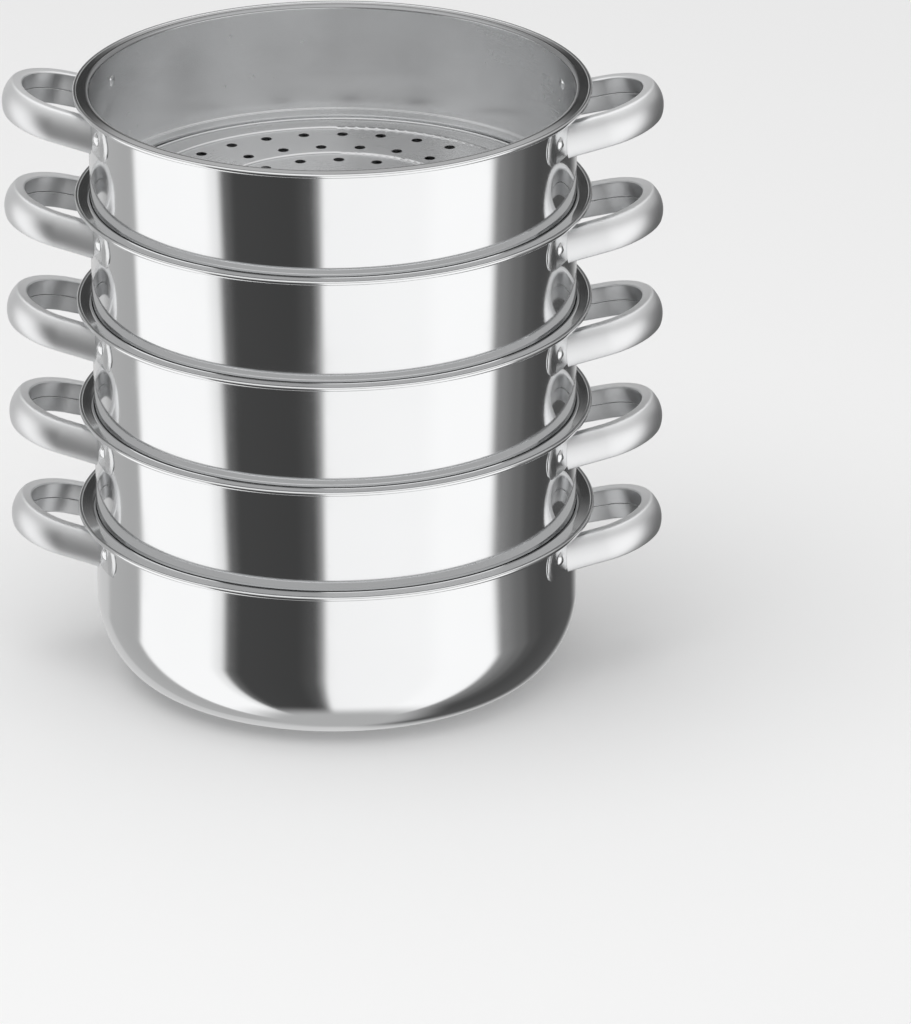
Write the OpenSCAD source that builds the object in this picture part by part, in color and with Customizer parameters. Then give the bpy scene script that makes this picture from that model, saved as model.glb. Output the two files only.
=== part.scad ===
/* [Pot] */
// height of the pot from its base to the top of its rim
pot_h = 111; // [104:1:130]
// sheet thickness of the pot
pot_t = 0.8; // [0.6:0.1:1.2]
// radius of the upper, slower part of the pot's rounded lower corner
corner_up = 60; // [50:1:70]
// radius of the lower, tighter part of that corner
corner_low = 35; // [25:1:40]
// width of the pot's rim flange, from the wall to the outside of its rolled edge
pot_rim_w = 11.5; // [10:0.5:14]

/* [Walls and rims] */
// outer radius of every wall
wall_r = 155; // [150:1:160]
// sheet thickness of a tier
wall_t = 0.6; // [0.5:0.1:1]
// width of a tier's rim flange, from the wall to the outside of its rolled edge
rim_w = 10; // [8:0.5:12]
// radius of the bend from a wall into its flange, on the inside
bend_r = 2; // [1.6:0.1:3]
// radius of the rolled bead on a rim's edge
bead_r = 1.5; // [1.3:0.1:2]
// height by which that bead stands above its flange
rim_lip = 0.3; // [0.2:0.05:0.5]

/* [Tiers] */
// height from one rim to the next
pitch = 70.6; // [66:0.2:76]
// radius by which a tier's skirt is smaller than its wall, so that it drops into the rim below
skirt_in = 2.1; // [1.9:0.1:2.4]
// depth of that skirt below the rim it sits on
skirt_h = 7; // [5:0.5:10]
// clear height left between a tier's shoulder and the rim bend it rests on
seat_gap = 0.3; // [0.1:0.05:0.5]
// width of the ledge that carries the steaming plate
ledge_w = 9.3; // [6:0.1:16]

/* [Steaming plates] */
// clear gap between a steaming plate's edge and the skirt round it
plate_play = 2.7; // [1.5:0.1:4]
// thickness of a steaming plate
plate_t = 0.6; // [0.5:0.1:1]
// clear height between a plate and its ledge
plate_gap = 0.3; // [0.1:0.05:0.5]
// radius of a steam hole
hole_r = 3.5; // [3:0.25:4.5]
// step from one ring of steam holes to the next, and from the middle to the first
ring_step = 24; // [20:1:28]
// number of steam holes on the first ring, and how many more each next ring has
ring_more = 6; // [4:1:8]
// half the thickness of a pressed ring on the plate
ring_rise = 1.6; // [1.2:0.1:2]
// radius of the bead at the plate's edge
edge_bead_r = 1; // [0.8:0.1:1.4]
// height of the plate's underside above the bottom of that bead
edge_lift = 0.2; // [0.1:0.05:0.3]

/* [Handles] */
// reach of a handle from the wall to the outside of its tip
reach = 54.5; // [50:0.5:59]
// outer radius of a handle's round end
loop_r = 42; // [40:1:45]
// height of the handle's strap
strap_h = 22; // [18:0.5:24]
// thickness of the strap from its inner face to the top of its dome
strap_w = 10.5; // [8:0.5:12]
// sheet thickness of the strap
strap_t = 1; // [0.8:0.1:1.4]
// how far the strap's outer face bulges
dome_rise = 3.5; // [2.5:0.25:4]
// width of the seam along the strap's inner face
seam_w = 0.6; // [0.4:0.1:1]
// angle by which a handle rises outwards
tilt = 14.3; // [8:0.1:18]
// angle by which each leg opens towards the wall
leg_toe = 8; // [4:1:10]
// depth of a handle's root below its rim
root_drop = 20.5; // [20:0.1:23]
// clear gap between a strap's end and the ear plate it is welded to
weld_gap = 0.05; // [0.02:0.01:0.1]

/* [Ear plates and rivets] */
// height of an ear plate
ear_h = 21; // [18:0.5:22]
// thickness of an ear plate
ear_t = 1.45; // [1.2:0.05:1.8]
// clear gap between an ear plate and the wall
ear_gap = 0.05; // [0.02:0.01:0.1]
// length of an ear plate round the wall, from the strap's middle to its rounded outer end
ear_out = 33.5; // [31:0.5:36]
// length of an ear plate from the strap's middle to its end behind the strap
ear_in = 7; // [6.5:0.5:9]
// radius of its rounded outer end
ear_end_r = 13.4; // [12:0.2:16]
// height of an ear plate's middle above the middle of the strap's root
ear_up = 2; // [1:0.1:3]
// distance round the wall from the strap's middle to a rivet
rivet_out = 17; // [14:0.5:19]
// height of a rivet above the middle of its ear plate
rivet_up = 1.5; // [0:0.1:3]
// radius of a rivet's shank
rivet_r = 2.5; // [2:0.25:3]
// clear gap round the shank
rivet_gap = 0.05; // [0.02:0.01:0.1]
// radius of a rivet's outer head
head_r = 4.5; // [4:0.25:5]
// height of a rivet's outer head
head_h = 2.2; // [1.8:0.1:2.6]
// radius of a rivet's inner head
inner_head_r = 3.75; // [3.25:0.25:4]
// height of a rivet's inner head
inner_head_h = 1.2; // [1:0.1:1.3]

/* [Hidden] */
$fn = 96;

// polished, satin and bright steel
polished = [0.80, 0.81, 0.83];
satin = [0.66, 0.67, 0.69];
bright = [0.88, 0.89, 0.90];

// where the two arcs of the pot's lower corner have their middles
corner_step = corner_up - corner_low;
up_x = wall_r - corner_up;
up_z = corner_low + 0.6 * corner_step;
low_x = up_x + 0.8 * corner_step;

// the skirt's outer and inner radii, the ledge's inner radius and the plate's outer one
skirt_r = wall_r - skirt_in;
skirt_bore = skirt_r - wall_t;
ledge_r = skirt_bore - ledge_w;
plate_r = skirt_bore - plate_play;

// the number of rings of steam holes that fit inside the plate's edge
ring_count = floor((plate_r - 2 * edge_bead_r - 2 * hole_r) / ring_step);

// the strap's section: its dome's radius and its rounded corners
dome_r = (pow(strap_h / 2, 2) + dome_rise * dome_rise) / (2 * dome_rise);
strap_corner = 2;

// a handle in its own tilted plane: the tip's reach, the round end's middle, a leg's angle
tip_run = reach / cos(tilt);
loop_x = tip_run - loop_r;
leg_at = 90 - leg_toe;
ear_r = wall_r + ear_gap + ear_t;

// where a leg's middle meets its ear plate: how far out sideways, forwards and down
mid_r = loop_r - strap_w / 2;
wall_run = (sqrt(ear_r * ear_r - loop_r * loop_r) - wall_r) / cos(tilt);
leg_run = (loop_x + mid_r * cos(leg_at) - wall_run) / sin(leg_at);
root_y = mid_r * sin(leg_at) + leg_run * cos(leg_at);
root_at = asin(root_y / ear_r);
root_z = root_drop + (wall_r - ear_r * cos(root_at)) * tan(tilt);

// degrees for each mm round the wall, and the angles of an ear plate's middle and a rivet
per_mm = 180 / (PI * ear_r);
ear_at = root_at + per_mm * (ear_out - ear_in) / 2;
rivet_at = root_at + per_mm * rivet_out;
ear_drop = root_z - ear_up;
rivet_drop = ear_drop - rivet_up;

// height of a vessel's rim above the base: 0 is the pot, 1 to 4 are the tiers
function rim_z(k) = pot_h + k * pitch;
// sheet thickness of a vessel's wall
function sheet(k) = k == 0 ? pot_t : wall_t;
// height of a tier's shoulder, where its corner meets the bend of the rim below
function seat_z(k) = rim_z(k - 1) - rim_lip - bend_r + seat_gap
    + sqrt(bend_r * bend_r - pow(bend_r - sheet(k - 1), 2));
// radius of the sphere that a rivet's head is cut from
function cap_r(r, h) = (r * r + h * h) / (2 * h);

// the outline under a pot's outer face, or under its inner one when it is set in
module pot_outline(in, top) {
    up = corner_up - in;
    low = corner_low - in;
    translate([0, up_z])
        square([wall_r - in, top - up_z]);
    polygon([[0, in], [low_x, in], [low_x, corner_low], [up_x, up_z], [up_x, up_z + 1],
        [0, up_z + 1]]);
    intersection() {
        translate([up_x, up_z])
            circle(r = up);
        polygon([[up_x - 4, up_z + 1], [up_x + 100, up_z + 1], [up_x + 100, up_z - 75],
            [up_x, up_z]]);
    }
    intersection() {
        translate([low_x, corner_low])
            circle(r = low);
        polygon([[low_x, corner_low], [low_x + 100, corner_low - 75], [low_x + 100, -20],
            [low_x - 1, -20], [low_x - 1, corner_low]]);
    }
}

// the points of a rim in section, its bead's top at z = 0, from the wall's outer face round to
// the rim's inner end
function rim_points(left, outer, t) = [[wall_r, -rim_lip - bend_r],
    [wall_r - t + bend_r, -rim_lip - bend_r], [wall_r - t + bend_r, -rim_lip - t],
    [outer - bead_r, -rim_lip - t], [outer - bead_r, -rim_lip], [left, -rim_lip]];

// the wall drawn by its children gets a rolled bead and a bend that is round on both sides
module rimmed(outer, t) {
    difference() {
        union() {
            children();
            translate([outer - bead_r, -bead_r])
                circle(r = bead_r);
        }
        translate([wall_r - t + bend_r, -rim_lip - bend_r])
            circle(r = bend_r - t);
        difference() {
            translate([wall_r - t - 1, -rim_lip - bend_r])
                square(bend_r + 1);
            translate([wall_r - t + bend_r, -rim_lip - bend_r])
                circle(r = bend_r);
        }
    }
}

// holes through a wall for the four rivets
module rivet_holes(z) {
    for (a = [-rivet_at, rivet_at, 180 - rivet_at, 180 + rivet_at])
        rotate([0, 0, a])
            translate([wall_r - 3 * ear_t, 0, z - rivet_drop])
                rotate([0, 90, 0])
                    cylinder(r = rivet_r + rivet_gap, h = 6 * ear_t);
}

// the pot: a drawn bowl with a rounded lower corner and a rolled rim
module pot_shell() {
    outer = wall_r + pot_rim_w;
    color(polished)
    difference() {
        translate([0, 0, pot_h])
            rotate_extrude()
                rimmed(outer, pot_t)
                    difference() {
                        union() {
                            translate([0, -pot_h])
                                pot_outline(0, pot_h - rim_lip - pot_t / 2);
                            polygon(concat(rim_points(wall_r - 2, outer, pot_t),
                                [[wall_r - 2, -3 * bend_r], [wall_r, -3 * bend_r]]));
                        }
                        translate([0, -pot_h])
                            pot_outline(pot_t, 2 * pot_h);
                    }
        rivet_holes(pot_h);
    }
}

// a tier's wall, its shoulder, the skirt that drops into the rim below and the ledge in it
module tier_shell(k) {
    z0 = seat_z(k) - rim_z(k);
    foot = z0 - skirt_h;
    outer = wall_r + rim_w;
    color(polished)
    difference() {
        translate([0, 0, rim_z(k)])
            rotate_extrude()
                rimmed(outer, wall_t)
                    polygon(concat(rim_points(wall_r - wall_t, outer, wall_t),
                        [[wall_r - wall_t, z0 + wall_t], [skirt_bore, z0 + wall_t],
                        [skirt_bore, foot + wall_t], [ledge_r, foot + wall_t],
                        [ledge_r, foot], [skirt_r, foot], [skirt_r, z0], [wall_r, z0]]));
        rivet_holes(rim_z(k));
    }
}

// a steaming plate: a disc with steam holes, pressed rings and a beaded edge
module steam_plate(k) {
    z = seat_z(k) - skirt_h + wall_t + plate_gap;
    color(satin)
    translate([0, 0, z])
    difference() {
        rotate_extrude()
            union() {
                translate([0, edge_lift])
                    square([plate_r - edge_bead_r, plate_t]);
                translate([plate_r - edge_bead_r, edge_bead_r])
                    circle(r = edge_bead_r);
                for (n = [1 : 2 : ring_count])
                    intersection() {
                        translate([(n + 0.5) * ring_step, edge_lift + plate_t / 2])
                            circle(r = ring_rise);
                        translate([(n + 0.5) * ring_step - 2 * ring_rise,
                            edge_lift + plate_t / 2])
                            square([4 * ring_rise, 2 * ring_rise]);
                    }
            }
        translate([0, 0, -1])
            cylinder(r = hole_r, h = plate_t + 2);
        for (n = [1 : ring_count])
            for (i = [0 : n * ring_more - 1])
                rotate([0, 0, (i + 0.5) * 360 / (n * ring_more)])
                    translate([n * ring_step, 0, -1])
                        cylinder(r = hole_r, h = plate_t + 2);
    }
}

// the strap's outline in section: x runs outwards from its inner face, y up
module strap_outline(in) {
    c = strap_corner - in / 2;
    intersection() {
        union() {
            translate([in + c, in - strap_h / 2])
                square([strap_w - 2 * in - 2 * c, strap_h - 2 * in]);
            translate([in, in + c - strap_h / 2])
                square([strap_w - 2 * in, strap_h - 2 * in - 2 * c]);
            for (x = [in + c, strap_w - in - c], y = [-1, 1])
                translate([x, y * (strap_h / 2 - in - c)])
                    circle(r = c);
        }
        translate([strap_w - dome_r, 0])
            circle(r = dome_r - in);
    }
}

// the strap in section, hollow, with its seam along the inner face
module strap_section() {
    difference() {
        strap_outline(0);
        strap_outline(strap_t);
        translate([-1, -seam_w / 2])
            square([strap_t + 1.5, seam_w]);
    }
}

// half of a handle: the leg on one side and its round end, to just past the tip
module half_handle() {
    translate([loop_x, 0, 0])
        rotate([0, 0, -leg_at]) {
            rotate_extrude(angle = leg_at + 5)
                translate([loop_r - strap_w, 0])
                    strap_section();
            translate([loop_r - strap_w, 0, 0])
                rotate([90, 0, 0])
                    linear_extrude(tip_run)
                        strap_section();
        }
}

// a right-hand loop handle at a rim height
module handle_right(z) {
    color(polished)
    difference() {
        translate([wall_r, 0, z - root_drop])
            rotate([0, -tilt, 0]) {
                half_handle();
                mirror([0, 1, 0])
                    half_handle();
            }
        translate([0, 0, z - root_drop - 2 * tip_run])
            cylinder(r = ear_r + weld_gap, h = 4 * tip_run);
    }
}

// an ear plate's outline: x runs round the wall from the plate's middle, y up
module ear_outline() {
    half = (ear_in + ear_out) / 2;
    translate([-half, -ear_h / 2])
        square([2 * half - ear_end_r, ear_h]);
    intersection() {
        translate([half - ear_end_r, 0])
            circle(r = ear_end_r);
        translate([half - ear_end_r - 1, -ear_h / 2])
            square([ear_end_r + 1, ear_h]);
    }
}

// one ear plate behind a right-hand leg
module ear(z) {
    difference() {
        intersection() {
            translate([0, 0, z - ear_drop - ear_h])
                difference() {
                    cylinder(r = ear_r, h = 2 * ear_h);
                    translate([0, 0, -1])
                        cylinder(r = wall_r + ear_gap, h = 2 * ear_h + 2);
                }
            rotate([0, 0, ear_at])
                translate([wall_r - ear_out, 0, z - ear_drop])
                    rotate([90, 0, 90])
                        linear_extrude(2 * ear_out)
                            ear_outline();
        }
        rivet_holes(z);
    }
}

// the two ear plates of a right-hand handle
module ears_right(z) {
    color(satin) {
        ear(z);
        mirror([0, 1, 0])
            ear(z);
    }
}

// a rivet: its shank, its domed outer head and its low inner head
module rivet(z, t) {
    outer_face = ear_r + weld_gap;
    inner_face = sqrt(pow(wall_r - t, 2) - inner_head_r * inner_head_r) - ear_gap;
    rotate([0, 0, rivet_at])
        translate([0, 0, z - rivet_drop])
            rotate([0, 90, 0])
                union() {
                    translate([0, 0, inner_face - 0.3])
                        cylinder(r = rivet_r, h = outer_face - inner_face + 0.6);
                    intersection() {
                        translate([0, 0, outer_face + head_h - cap_r(head_r, head_h)])
                            sphere(r = cap_r(head_r, head_h));
                        translate([0, 0, outer_face])
                            cylinder(r = head_r + 1, h = head_h + 1);
                    }
                    intersection() {
                        translate([0, 0, inner_face - inner_head_h + cap_r(inner_head_r, inner_head_h)])
                            sphere(r = cap_r(inner_head_r, inner_head_h));
                        translate([0, 0, inner_face - inner_head_h - 1])
                            cylinder(r = inner_head_r + 1, h = inner_head_h + 1);
                    }
                }
}

// the two rivets of a right-hand handle
module rivets_right(k) {
    color(bright) {
        rivet(rim_z(k), sheet(k));
        mirror([0, 1, 0])
            rivet(rim_z(k), sheet(k));
    }
}

// the left-hand pieces are the right-hand ones turned half round the stack
module handle_left(z) {
    rotate([0, 0, 180])
        handle_right(z);
}

module ears_left(z) {
    rotate([0, 0, 180])
        ears_right(z);
}

module rivets_left(k) {
    rotate([0, 0, 180])
        rivets_right(k);
}

pot_shell();
handle_left(rim_z(0));  // pot_handle_left
handle_right(rim_z(0));  // pot_handle_right
ears_left(rim_z(0));  // pot_ears_left
ears_right(rim_z(0));  // pot_ears_right
rivets_left(0);  // pot_rivets_left
rivets_right(0);  // pot_rivets_right
tier_shell(1);  // tier_1_shell
steam_plate(1);  // tier_1_plate
handle_left(rim_z(1));  // tier_1_handle_left
handle_right(rim_z(1));  // tier_1_handle_right
ears_left(rim_z(1));  // tier_1_ears_left
ears_right(rim_z(1));  // tier_1_ears_right
rivets_left(1);  // tier_1_rivets_left
rivets_right(1);  // tier_1_rivets_right
tier_shell(2);  // tier_2_shell
steam_plate(2);  // tier_2_plate
handle_left(rim_z(2));  // tier_2_handle_left
handle_right(rim_z(2));  // tier_2_handle_right
ears_left(rim_z(2));  // tier_2_ears_left
ears_right(rim_z(2));  // tier_2_ears_right
rivets_left(2);  // tier_2_rivets_left
rivets_right(2);  // tier_2_rivets_right
tier_shell(3);  // tier_3_shell
steam_plate(3);  // tier_3_plate
handle_left(rim_z(3));  // tier_3_handle_left
handle_right(rim_z(3));  // tier_3_handle_right
ears_left(rim_z(3));  // tier_3_ears_left
ears_right(rim_z(3));  // tier_3_ears_right
rivets_left(3);  // tier_3_rivets_left
rivets_right(3);  // tier_3_rivets_right
tier_shell(4);  // tier_4_shell
steam_plate(4);  // tier_4_plate
handle_left(rim_z(4));  // tier_4_handle_left
handle_right(rim_z(4));  // tier_4_handle_right
ears_left(rim_z(4));  // tier_4_ears_left
ears_right(rim_z(4));  // tier_4_ears_right
rivets_left(4);  // tier_4_rivets_left
rivets_right(4);  // tier_4_rivets_right
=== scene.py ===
import math

import bmesh
import bpy
from mathutils import Matrix, Vector


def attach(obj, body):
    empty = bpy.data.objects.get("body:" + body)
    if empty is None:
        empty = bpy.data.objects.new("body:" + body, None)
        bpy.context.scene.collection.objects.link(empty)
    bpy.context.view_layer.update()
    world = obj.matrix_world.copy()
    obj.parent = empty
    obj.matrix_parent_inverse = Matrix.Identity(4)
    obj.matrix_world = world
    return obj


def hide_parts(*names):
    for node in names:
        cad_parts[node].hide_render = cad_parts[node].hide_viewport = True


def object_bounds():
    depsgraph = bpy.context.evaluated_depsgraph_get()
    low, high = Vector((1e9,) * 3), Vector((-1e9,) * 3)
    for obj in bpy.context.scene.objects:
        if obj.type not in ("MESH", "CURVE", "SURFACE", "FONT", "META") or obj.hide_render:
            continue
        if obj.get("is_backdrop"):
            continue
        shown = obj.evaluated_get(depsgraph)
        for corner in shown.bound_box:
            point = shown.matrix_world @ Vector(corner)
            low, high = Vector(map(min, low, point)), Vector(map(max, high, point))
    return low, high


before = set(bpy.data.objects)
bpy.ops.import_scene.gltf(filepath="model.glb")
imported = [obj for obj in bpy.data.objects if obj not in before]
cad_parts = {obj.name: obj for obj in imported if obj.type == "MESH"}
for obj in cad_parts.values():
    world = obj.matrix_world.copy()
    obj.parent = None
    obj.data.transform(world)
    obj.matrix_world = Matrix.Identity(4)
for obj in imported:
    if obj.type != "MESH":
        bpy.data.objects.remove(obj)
cad_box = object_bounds()
scene = bpy.context.scene
scene.view_settings.view_transform = "Standard"

# ---- The camera
# A long lens a good five metres off and about 20 degrees up, a little to the right of the line
# square to the handles. The pot stands left of and below the middle of the picture.
camera_data = bpy.data.cameras.new("camera")
camera_data.sensor_fit = "HORIZONTAL"
camera_data.sensor_width = 36
camera_data.lens = 353.73
camera_data.clip_end = 60
camera = bpy.data.objects.new("camera", camera_data)
camera.location = (0.28, -5.34273, 2.29718)
camera.rotation_euler = [math.radians(turn) for turn in (67.6766, 0.2249, 2.0839)]
scene.collection.objects.link(camera)
scene.camera = camera


# ---- The studio
# A pale paper floor under one wide soft lamp, in a room of white cards and dark flags. Polished
# steel shows little colour of its own, so the bands on its walls are these cards.
class Socket:
    """An output of a node in one node tree, with plain arithmetic."""

    def __init__(self, tree, out):
        self.tree, self.out = tree, out

    def make(self, kind, settings=None, **inputs):
        """A node of that kind: its settings are set first, then its sockets by name or number."""
        node = self.tree.nodes.new(kind)
        for name, value in (settings or {}).items():
            if name == "stops":
                ramp = node.color_ramp
                ramp.interpolation = "EASE"
                while len(ramp.elements) < len(value):
                    ramp.elements.new(0.5)
                for stop, (place, grey) in zip(ramp.elements, value):
                    stop.position = place
                    stop.color = (grey, grey, grey, 1)
            else:
                setattr(node, name, value)
        for name, value in inputs.items():
            key = int(name[1:]) if name[0] == "i" and name[1:].isdigit() else name.replace("_", " ")
            if isinstance(value, Socket):
                self.tree.links.new(value.out, node.inputs[key])
            else:
                node.inputs[key].default_value = value
        return node

    def of(self, node, name=0):
        return Socket(self.tree, node.outputs[name])

    def math(self, operation, *values):
        node = self.make("ShaderNodeMath", {"operation": operation},
                         **{"i%d" % i: value for i, value in enumerate(values)})
        return self.of(node)

    def __add__(self, other): return self.math("ADD", self, other)
    def __radd__(self, other): return self.math("ADD", other, self)
    def __sub__(self, other): return self.math("SUBTRACT", self, other)
    def __rsub__(self, other): return self.math("SUBTRACT", other, self)
    def __mul__(self, other): return self.math("MULTIPLY", self, other)
    def __rmul__(self, other): return self.math("MULTIPLY", other, self)
    def __truediv__(self, other): return self.math("DIVIDE", self, other)

    def rise(self, low, high):
        """0 below low and 1 above high, with a soft step between."""
        node = self.make("ShaderNodeMapRange", {"interpolation_type": "SMOOTHSTEP"},
                         Value=self, From_Min=low, From_Max=high)
        return self.of(node)


world = bpy.data.worlds.new("studio")
scene.world = world
world.use_nodes = True
world.node_tree.nodes.clear()
sky = Socket(world.node_tree, None)
towards = sky.of(sky.make("ShaderNodeTexCoord"), "Generated")
side = sky.make("ShaderNodeSeparateXYZ", Vector=towards)
x, y, z = (sky.of(side, name) for name in "XYZ")

# The cards and flags by how far round from the camera's side they stand, in degrees with plus on
# the right, and by how bright they are. A colour ramp holds them as shares of the brightest.
camera_turn, brightest = 3.0, 1.1
cards = [(-180, 0.66), (-148, 0.60), (-140, 0.45), (-113, 0.42), (-108, 1.08), (-66, 1.08),
         (-59, 0.90), (-54, 0.13), (-48, 0.06), (-20, 0.055), (-11, 0.085), (-8, 0.25),
         (-4, 1.02), (40, 1.04), (55, 1.09), (80, 1.09), (87, 0.24), (100, 0.15),
         (108, 0.09), (118, 0.07), (152, 0.09), (180, 0.66)]
stops = [((at + 180) / 360, bright / brightest) for at, bright in cards]
degrees = 180 / math.pi
round_at = sky.math("ARCTAN2", x, y * -1) * degrees - camera_turn
light = sky.of(sky.make("ShaderNodeValToRGB", {"stops": stops},
                        Fac=(round_at + 180) / 360)) * brightest
# Above the cards comes a grey board, which hangs lower on the far side, and then a white ceiling.
# A dark beam crosses the far side, which a flat rim shows, and straight below it is grey.
board_bright, beam_bright = 0.46, 0.045
up_to = sky.math("ARCSINE", z) * degrees
far_side = sky.math("ABSOLUTE", round_at)
near_board, far_board = up_to.rise(13, 20), up_to.rise(6, 12)
board = near_board + far_side.rise(100, 125) * (far_board - near_board)
light = light * (1 - board) + board * board_bright
beam = far_side.rise(167, 173) * up_to.rise(12, 15) * (1 - up_to.rise(22, 26))
light = light * (1 - beam) + beam * beam_bright
ceiling = up_to.rise(34, 50)
light = light * (1 - ceiling) + ceiling
above_ground = up_to.rise(-78, -62)
light = light * above_ground + (1 - above_ground) * board_bright
shine = sky.make("ShaderNodeBackground", Color=light)
sky.make("ShaderNodeOutputWorld", Surface=sky.of(shine))

lamp_data = bpy.data.lights.new("ceiling_lamp", "AREA")
lamp_data.shape = "DISK"
lamp_data.size = 2.4
lamp_data.energy = 25
lamp = bpy.data.objects.new("ceiling_lamp", lamp_data)
lamp.location = (-0.5, -0.6, 2.6)
lamp.rotation_euler = (-lamp.location).to_track_quat("-Z", "Y").to_euler()
scene.collection.objects.link(lamp)
# Level steel seen from above shows the white ceiling alone, and not the lamp on top of it.
lamp.visible_glossy = False

# The floor's own faint light is for the camera alone, and polished steel doesn't show the floor.
floor_mesh = bpy.data.meshes.new("floor")
form = bmesh.new()
bmesh.ops.create_grid(form, x_segments=1, y_segments=1, size=14)
form.to_mesh(floor_mesh)
form.free()
floor = bpy.data.objects.new("floor", floor_mesh)
scene.collection.objects.link(floor)
paper = bpy.data.materials.new("pale_paper")
paper.use_nodes = True
paper.node_tree.nodes.clear()
ground = Socket(paper.node_tree, None)
to_camera = ground.of(ground.make("ShaderNodeLightPath"), "Is Camera Ray")
lit = ground.make("ShaderNodeBsdfPrincipled", Base_Color=(0.80, 0.80, 0.80, 1), Roughness=0.9,
                  Emission_Color=to_camera, Emission_Strength=0.08)
ground.make("ShaderNodeOutputMaterial", Surface=ground.of(lit))
floor_mesh.materials.append(paper)
floor.visible_glossy = False
floor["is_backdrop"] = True

# ---- The soup pot
# A bowl drawn from 0.8 mm stainless sheet, with a rounded lower corner, and polished bright. Its
# rim is bent out of the wall into a flange whose edge is rolled into a bead.
mm = 0.001
wall_r, pot_t, wall_t = 155.0, 0.8, 0.6
pot_h, pitch = 111.0, 70.6
bend_r, bead_r, rim_lip = 2.0, 1.5, 0.3  # the lip is how far a bead stands above its flange
pot_rim_w, rim_w = 11.5, 10.0
corner_up, corner_low = 60.0, 35.0


def arc(across, up, radius, start, end, steps):
    """Points on an arc in the section's plane, from one angle in degrees to another."""
    turns = [math.radians(start + (end - start) * i / steps) for i in range(steps + 1)]
    return [(across + radius * math.cos(a), up + radius * math.sin(a)) for a in turns]


def rim(outer, t):
    """A rim's section from the inside of the wall, over the flange and the bead, to its outside.
    The bead's top is at height 0. The flange is highest just past the bend and slopes gently
    down to its foot at the bead."""
    bend_x = wall_r - t + bend_r
    bead_x = outer - bead_r
    top_x, top_up = 1.5, -0.05
    foot_x, foot_up, foot_at = bead_x - 1.07, -0.45, 135.6
    slope = (foot_up - top_up) / (foot_x - bend_x - top_x)
    crown = [(0.5, -0.10), (1.0, -0.04)] + [(across, top_up + slope * (across - top_x))
                                            for across in (1.9, 2.6, 3.4, 4.2, 5.0)]
    return (arc(bend_x, -rim_lip - bend_r, bend_r, 180, 106, 9)
            + [(bend_x + across, up) for across, up in crown] + [(foot_x, foot_up)]
            + arc(bead_x, -bead_r, bead_r, foot_at, -170, 28)
            + [(bead_x - 1.6, -rim_lip - t - 0.34), (bend_x + 0.5, -rim_lip - t - 0.02)]
            + arc(bend_x, -rim_lip - bend_r, bend_r - t, 100, 180, 7))


def turned(section, height, steps=224):
    """A bmesh of a section turned once round the stack's axis, its points in mm."""
    form = bmesh.new()
    points = [form.verts.new((px * mm, 0, (pz + height) * mm)) for px, pz in section]
    edges = [form.edges.new(pair) for pair in zip(points, points[1:])]
    if section[0][0] > 0:
        edges.append(form.edges.new((points[-1], points[0])))
    bmesh.ops.spin(form, geom=points + edges, cent=(0, 0, 0), axis=(0, 0, 1),
                   angle=2 * math.pi, steps=steps, use_merge=True)
    bmesh.ops.remove_doubles(form, verts=form.verts, dist=1e-6)
    bmesh.ops.recalc_face_normals(form, faces=form.faces)
    return form


def piece(name, form, node, body, slot, *materials, sharp=35):
    """A finished piece that stands for a node: smooth but for its sharp edges, and on its body."""
    mesh = bpy.data.meshes.new(name)
    form.to_mesh(mesh)
    form.free()
    mesh.shade_smooth()
    mesh.set_sharp_from_angle(angle=math.radians(sharp))
    thing = bpy.data.objects.new(name, mesh)
    scene.collection.objects.link(thing)
    for material in materials:
        mesh.materials.append(material)
    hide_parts(node)
    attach(thing, body)
    return thing


def steel(name, tone, rough, grain, haze, relief):
    """Stainless steel: fine rings from its polishing, and a faint uneven haze from its use.
    Grain, haze and relief say how far the rings and the haze change its roughness and height."""
    material = bpy.data.materials.new(name)
    material.use_nodes = True
    s = Socket(material.node_tree, None)
    material.node_tree.nodes.clear()
    place = s.of(s.make("ShaderNodeTexCoord"), "Object")
    part = s.make("ShaderNodeSeparateXYZ", Vector=place)
    px, py, pz = (s.of(part, axis) for axis in "XYZ")
    out_from = s.math("SQRT", px * px + py * py)
    turn = s.math("ARCTAN2", py, px)
    rings_at = s.of(s.make("ShaderNodeCombineXYZ", X=out_from * 2600, Y=turn * 2.2, Z=pz * 2600))
    rings = s.of(s.make("ShaderNodeTexNoise", Vector=rings_at, Scale=1.0, Detail=3.0,
                        Roughness=0.6))
    cloud = s.of(s.make("ShaderNodeTexNoise", Vector=place, Scale=16.0, Detail=4.0,
                        Roughness=0.55))
    fleck = s.of(s.make("ShaderNodeTexNoise", Vector=place, Scale=160.0, Detail=2.0,
                        Roughness=0.5)).rise(0.62, 0.78)
    roughness = (rough + (rings - 0.5) * grain + cloud.rise(0.35, 0.75) * haze
                 + fleck * haze * 0.5)
    shade = 1 - (rings - 0.5) * grain * 0.5 - cloud.rise(0.4, 0.8) * haze * 0.25
    colour = s.of(s.make("ShaderNodeMix", {"data_type": "RGBA"}, Factor=shade), 2)
    mix = colour.out.node
    mix.inputs[6].default_value = (tone[0] * 0.8, tone[1] * 0.8, tone[2] * 0.8, 1)
    mix.inputs[7].default_value = (*tone, 1)
    bump = s.of(s.make("ShaderNodeBump", Strength=relief, Distance=0.0001, Height=rings))
    shader = s.make("ShaderNodeBsdfPrincipled", Base_Color=colour, Metallic=1.0,
                    Roughness=roughness, Normal=bump)
    s.make("ShaderNodeOutputMaterial", Surface=s.of(shader))
    return material


bright_outside = steel("bright_outside", (0.87, 0.875, 0.88), 0.07, 0.04, 0.05, 0.02)
soft_inside = steel("soft_inside", (0.90, 0.905, 0.91), 0.20, 0.08, 0.08, 0.06)
# The third steel is darker and rougher: painted shade for the rim's upward faces, the bend and the
# top of the bead.
rim_painted_shade = steel("rim_painted_shade", (0.42, 0.425, 0.43), 0.16, 0.05, 0.05, 0.03)


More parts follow.
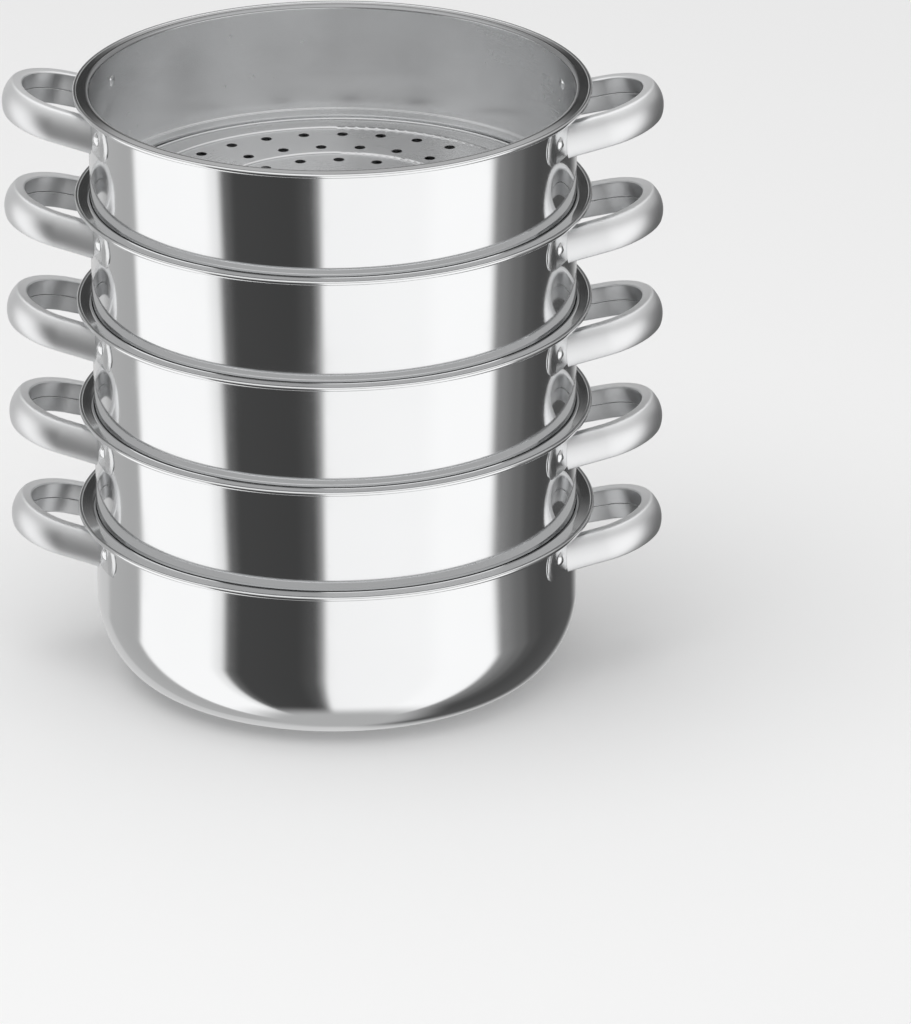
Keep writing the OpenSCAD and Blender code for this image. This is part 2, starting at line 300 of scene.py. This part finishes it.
def finish_and_painted_shade(form, low, height, outer):
    """The inside takes the softer second finish. The rim's bend and the top of its bead, faces that
    look upwards, take the third one: a rougher steel with painted shade in its darker colour."""
    for face in form.faces:
        middle = face.calc_center_median()
        out_from = math.hypot(middle.x, middle.y)
        inward = face.normal.x * middle.x + face.normal.y * middle.y < -0.2 * out_from
        upward = face.normal.z > 0.2
        on_bend = out_from < (wall_r + bend_r) * mm and face.normal.z > 0.35
        on_bead = out_from > (outer - 2 * bead_r + 0.4) * mm and face.normal.z > 0.85
        # painted shade: the upward faces of the bend and of the bead's top take the darker third
        # steel
        if middle.z > (height - rim_lip - bend_r) * mm and (on_bend or on_bead):
            face.material_index = 2
        elif middle.z > low * mm and out_from < (wall_r + 1) * mm and (inward or upward):
            face.material_index = 1


# The corner's two arcs meet where the outside leans 4 across to 3 up.
corner_step = corner_up - corner_low
up_x, up_z = wall_r - corner_up, corner_low + 0.6 * corner_step
low_x = up_x + 0.8 * corner_step
lean = math.degrees(math.atan2(-0.6, 0.8))


def bowl(inset):
    """The bowl's section from the middle of its base up to the straight wall."""
    return ([(0, inset), (40, inset), (80, inset)]
            + arc(low_x, corner_low, corner_low - inset, -90, lean, 22)
            + arc(up_x, up_z, corner_up - inset, lean, 0, 16)[1:])


pot_section = ([(px, pz - pot_h) for px, pz in bowl(pot_t)] + rim(wall_r + pot_rim_w, pot_t)
               + [(px, pz - pot_h) for px, pz in reversed(bowl(0))])
pot = turned(pot_section, pot_h)
finish_and_painted_shade(pot, 0.2, pot_h, wall_r + pot_rim_w)
piece("pot_bowl", pot, "pot_shell", "pot", "polished_steel", bright_outside, soft_inside,
      rim_painted_shade)

# ---- The four tiers
# Open rings of 0.6 mm sheet with the pot's rim. Below its shoulder each one has a skirt that
# drops into the rim below it, and the skirt's foot is turned in as a ledge for a plate.
skirt_in, ledge_w, skirt_h, seat_gap = 2.1, 9.3, 7.0, 0.3
skirt_r = wall_r - skirt_in
skirt_bore = skirt_r - wall_t
ledge_r = skirt_bore - ledge_w


def seat(below_t):
    """Height of a tier's shoulder over the top of the rim that it rests on."""
    return seat_gap - rim_lip - bend_r + math.sqrt(bend_r ** 2 - (bend_r - below_t) ** 2)


for k in range(1, 5):
    shoulder = seat(pot_t if k == 1 else wall_t) - pitch
    foot = shoulder - skirt_h
    section = (rim(wall_r + rim_w, wall_t)
               + arc(wall_r - 0.4, shoulder + 0.4, 0.4, 0, -90, 4)
               + arc(skirt_r + 0.3, shoulder - 0.3, 0.3, 90, 180, 3)
               + arc(skirt_r - 0.6, foot + 0.6, 0.6, 0, -90, 5)
               + arc(ledge_r + 0.3, foot + 0.3, 0.3, -90, -270, 6)
               + arc(skirt_bore - 0.3, foot + wall_t + 0.3, 0.3, -90, 0, 3)
               + [(skirt_bore, shoulder + wall_t - 0.1), (skirt_bore + 0.1, shoulder + wall_t),
                  (wall_r - wall_t - 0.1, shoulder + wall_t),
                  (wall_r - wall_t, shoulder + wall_t + 0.1)])
    height = pot_h + k * pitch
    tier = turned(section, height)
    finish_and_painted_shade(tier, height + foot - 1, height, wall_r + rim_w)
    piece("tier_%d_ring" % k, tier, "tier_%d_shell" % k, "tier_%d" % k, "polished_steel",
          bright_outside, soft_inside, rim_painted_shade)

# ---- The loop handles
# Hollow straps 22 mm high, pressed with a domed outer face and closed by a seam along the inner
# one. Each is bent into a loop that rises outwards, and both ends are welded to ear plates.
reach, loop_r = 54.5, 42.0
strap_h, strap_w, dome_rise, edge_r = 22.0, 10.5, 3.5, 2.5
tilt, leg_toe, root_drop, leg_spare = 14.3, 8.0, 20.5, 20
ear_t, gap = 1.45, 0.05
ear_r = wall_r + gap + ear_t
tip_run = reach / math.cos(math.radians(tilt))
loop_x = tip_run - loop_r
leg_at = 90 - leg_toe
dome_r = ((strap_h / 2) ** 2 + dome_rise ** 2) / (2 * dome_rise)

bright_strap = steel("bright_strap", (0.94, 0.945, 0.95), 0.42, 0.04, 0.05, 0.02)
# The second strap steel is darker: painted shade for the face towards the loop's middle.
strap_painted_shade = steel("strap_painted_shade", (0.60, 0.605, 0.61), 0.34, 0.06, 0.08, 0.04)


def strap():
    """The strap's section from its seam all round: inner face at 0, dome at strap_w."""
    dome_end = math.degrees(math.asin((strap_h / 2 - edge_r) / (dome_r - edge_r)))
    edge_x = strap_w - dome_r + (dome_r - edge_r) * math.cos(math.radians(dome_end))
    upper = ([(1.3, 0.3), (0.15, 0.3), (0.0, 0.5), (0.0, 3.5)]
             + arc(1.6, strap_h / 2 - 1.6, 1.6, 180, 90, 6)
             + arc(edge_x, strap_h / 2 - edge_r, edge_r, 90, dome_end, 8)
             + arc(strap_w - dome_r, 0, dome_r, dome_end, 0, 12)[1:])
    return upper + [(px, -pz) for px, pz in reversed(upper[:-1])]


def both_ways(form):
    """Adds the form's mirror image on the other side of the line through the handles."""
    bmesh.ops.mirror(form, geom=form.verts[:] + form.edges[:] + form.faces[:],
                     matrix=Matrix.Identity(4), merge_dist=-1, axis="Y")
    bmesh.ops.recalc_face_normals(form, faces=form.faces)


def loop_handle():
    """A right-hand loop in the row frame, with its rim at height 0."""
    form = bmesh.new()
    section = [form.verts.new((loop_x + loop_r - strap_w + px, 0, pz)) for px, pz in strap()]
    ring = [form.edges.new(pair) for pair in zip(section, section[1:] + section[:1])]
    swung = bmesh.ops.spin(form, geom=section + ring, cent=(loop_x, 0, 0), axis=(0, 0, 1),
                           angle=-math.radians(leg_at), steps=40)
    last = [e for e in swung["geom_last"] if isinstance(e, bmesh.types.BMEdge)]
    along = Vector((-math.sin(math.radians(leg_at)), -math.cos(math.radians(leg_at)), 0))
    drawn = bmesh.ops.extrude_edge_only(form, edges=last)
    ends = [v for v in drawn["geom"] if isinstance(v, bmesh.types.BMVert)]
    bmesh.ops.translate(form, verts=ends, vec=along * leg_spare)
    # the face towards the loop's middle takes the darker second steel, which is painted shade
    bmesh.ops.recalc_face_normals(form, faces=form.faces)
    for face in form.faces:
        middle = face.calc_center_median()
        inward = Vector((min(middle.x, loop_x), 0, 0)) - Vector((middle.x, middle.y, 0))
        face.material_index = int(face.normal.dot(inward.normalized()) > 0.85)
    place = (Matrix.Translation((wall_r, 0, -root_drop))
             @ Matrix.Rotation(math.radians(-tilt), 4, "Y"))
    bmesh.ops.transform(form, matrix=place, verts=form.verts)
    # each point of the end slides along its leg until it meets the ear plate's face
    along = place.to_3x3() @ along
    for v in ends:
        a = along.x ** 2 + along.y ** 2
        b = 2 * (v.co.x * along.x + v.co.y * along.y)
        c = v.co.x ** 2 + v.co.y ** 2 - (ear_r + gap) ** 2
        v.co += along * ((-b - math.sqrt(b * b - 4 * a * c)) / (2 * a))
    bmesh.ops.contextual_create(form, geom=[e for e in form.edges
                                            if e.is_boundary and all(v in ends for v in e.verts)])
    both_ways(form)
    bmesh.ops.remove_doubles(form, verts=form.verts, dist=1e-4)
    bmesh.ops.recalc_face_normals(form, faces=form.faces)
    return form


def sides(form, height):
    """The form's two placings on the vessel whose rim is at that height: name, bmesh in metres."""
    for name, turn in (("right", 0), ("left", 180)):
        placed = form.copy()
        bmesh.ops.transform(placed, verts=placed.verts,
                            matrix=Matrix.Diagonal((mm, mm, mm, 1))
                            @ Matrix.Rotation(math.radians(turn), 4, "Z")
                            @ Matrix.Translation((0, 0, height)))
        yield name, placed


vessels = [("pot", pot_h, pot_t)] + [("tier_%d" % k, pot_h + k * pitch, wall_t)
                                     for k in range(1, 5)]
loop = loop_handle()
for vessel, height, _ in vessels:
    for name, placed in sides(loop, height):
        piece("%s_loop_%s" % (vessel, name), placed, "%s_handle_%s" % (vessel, name), vessel,
              "handle_steel", bright_strap, strap_painted_shade)
loop.free()

# ---- The ear plates
# Tabs pressed from 1.45 mm sheet that lie round the wall behind each leg of a handle. The outer
# end is rounded, with a wide bevel that dips to the wall, and one rivet holds each to the wall.
ear_h, ear_out, ear_in, ear_end_r = 21.0, 33.5, 7.0, 13.4
ear_up, rivet_up, rivet_out, slice_w = 2.0, 1.5, 17.0, 1.5
ear_half = (ear_in + ear_out) / 2
# A leg's middle line meets the plate's face at this angle round the wall and this far down.
mid_r = loop_r - strap_w / 2
cos_tilt = math.cos(math.radians(tilt))
wall_run = (math.sqrt(ear_r ** 2 - loop_r ** 2) - wall_r) / cos_tilt
leg_run = (loop_x + mid_r * math.cos(math.radians(leg_at)) - wall_run) \
    / math.sin(math.radians(leg_at))
root_y = mid_r * math.sin(math.radians(leg_at)) + leg_run * math.cos(math.radians(leg_at))
root_at = math.degrees(math.asin(root_y / ear_r))
root_z = root_drop + (wall_r - ear_r * math.cos(math.radians(root_at))) \
    * math.tan(math.radians(tilt))
per_mm = 180 / (math.pi * ear_r)
ear_at = root_at + per_mm * (ear_out - ear_in) / 2
rivet_at = root_at + per_mm * rivet_out
ear_drop = root_z - ear_up
rivet_drop = ear_drop - rivet_up

ear_finish = steel("pressed_plate", (0.80, 0.805, 0.81), 0.22, 0.05, 0.08, 0.03)


def ear_outline(side_in, end_in, level):
    """The plate's outline, drawn in by so much at its sides and at its rounded end."""
    top = ear_h / 2 - side_in
    radius = ear_end_r - end_in
    corner = math.degrees(math.asin(min(top / radius, 1)))
    outline = ([(-ear_half + side_in, -top), (-ear_half * 0.3, -top)]
               + arc(ear_half - ear_end_r, 0, radius, -corner, corner, 18)
               + [(-ear_half * 0.3, top), (-ear_half + side_in, top)])
    return [(px, pz, level) for px, pz in outline]


def ear_plate():
    """One ear plate behind a right-hand leg on the far side, with its rim at height 0."""
    form = bmesh.new()
    rings = []
    for level in (ear_outline(0, 0, 0), ear_outline(0, 0, 0.55), ear_outline(0.12, 0.4, 0.75),
                  ear_outline(0.35, 2.3, ear_t - 0.1), ear_outline(0.6, 2.9, ear_t)):
        points = [form.verts.new(p) for p in level]
        rings.append([form.edges.new(pair) for pair in zip(points, points[1:] + points[:1])])
    for lower, upper in zip(rings, rings[1:]):
        bmesh.ops.bridge_loops(form, edges=lower + upper)
    for ring in (rings[0], rings[-1]):
        bmesh.ops.contextual_create(form, geom=ring)
    # cut into strips, so that it can bend round the wall
    for i in range(1, 27):
        bmesh.ops.bisect_plane(form, geom=form.verts[:] + form.edges[:] + form.faces[:],
                               plane_co=(-ear_half + i * slice_w, 0, 0), plane_no=(1, 0, 0))
    for v in form.verts:
        out_from = wall_r + gap + v.co.z
        turn = math.radians(ear_at) + math.asin(v.co.x / out_from)
        v.co = (out_from * math.cos(turn), out_from * math.sin(turn), v.co.y - ear_drop)
    bmesh.ops.recalc_face_normals(form, faces=form.faces)
    return form


ears = ear_plate()
both_ways(ears)
for vessel, height, _ in vessels:
    for name, placed in sides(ears, height):
        piece("%s_tabs_%s" % (vessel, name), placed, "%s_ears_%s" % (vessel, name), vessel,
              "satin_steel", ear_finish, sharp=28)
ears.free()

# ---- The rivets
# Solid stainless rivets through each ear plate and the wall: a domed head outside, and a lower
# one set by hand on the inside.
rivet_r, head_r, head_h, inner_head_r, inner_head_h = 2.5, 4.5, 2.2, 3.75, 1.2
head_edge = 0.12
rivet_finish = steel("rivet_head", (0.88, 0.885, 0.89), 0.14, 0.04, 0.06, 0.03)


def cap(edge_r, height, steps):
    """A dome's section from its rim to its top, the rim at height 0."""
    radius = (edge_r ** 2 + height ** 2) / (2 * height)
    start = math.degrees(math.asin((radius - height) / radius))
    return arc(0, height - radius, radius, start, 90, steps)


def rivet(t):
    """One rivet with its axis along X on the far right-hand side, its rim at height 0."""
    outer_face = ear_r + gap
    inner_face = math.sqrt((wall_r - t) ** 2 - inner_head_r ** 2) - gap
    outer = cap(head_r, head_h, 9)
    inner = cap(inner_head_r, inner_head_h, 7)
    section = ([(px, inner_face - pz) for px, pz in reversed(inner)]
               + [(rivet_r, inner_face), (rivet_r, outer_face), (head_r - 0.15, outer_face)]
               + [(px, outer_face + max(pz, head_edge)) for px, pz in outer])
    section[0], section[-1] = (0, section[0][1]), (0, section[-1][1])
    form = bmesh.new()
    points = [form.verts.new((px, 0, pz)) for px, pz in section]
    edges = [form.edges.new(pair) for pair in zip(points, points[1:])]
    bmesh.ops.spin(form, geom=points + edges, cent=(0, 0, 0), axis=(0, 0, 1),
                   angle=2 * math.pi, steps=32, use_merge=True)
    bmesh.ops.remove_doubles(form, verts=form.verts, dist=1e-4)
    bmesh.ops.recalc_face_normals(form, faces=form.faces)
    bmesh.ops.transform(form, verts=form.verts,
                        matrix=Matrix.Translation((0, 0, -rivet_drop))
                        @ Matrix.Rotation(math.radians(rivet_at), 4, "Z")
                        @ Matrix.Rotation(math.radians(90), 4, "Y"))
    return form


for vessel, height, t in vessels:
    pair = rivet(t)
    both_ways(pair)
    for name, placed in sides(pair, height):
        piece("%s_heads_%s" % (vessel, name), placed, "%s_rivets_%s" % (vessel, name), vessel,
              "rivet_steel", rivet_finish)
    pair.free()

# ---- The steaming plates
# Loose discs of 0.6 mm sheet with steam holes in rings, pressed ribs between them and a beaded
# edge, brushed in rings. They keep the solids' shape and lie on the ledges of the tiers.
plate_finish = steel("brushed_plate", (0.74, 0.745, 0.75), 0.26, 0.12, 0.08, 0.12)
for k in range(1, 5):
    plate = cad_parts["tier_%d_plate" % k]
    plate.data.materials.clear()
    plate.data.materials.append(plate_finish)

# ---- The whole
[[list(corner) for corner in box] for box in (cad_box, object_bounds())]
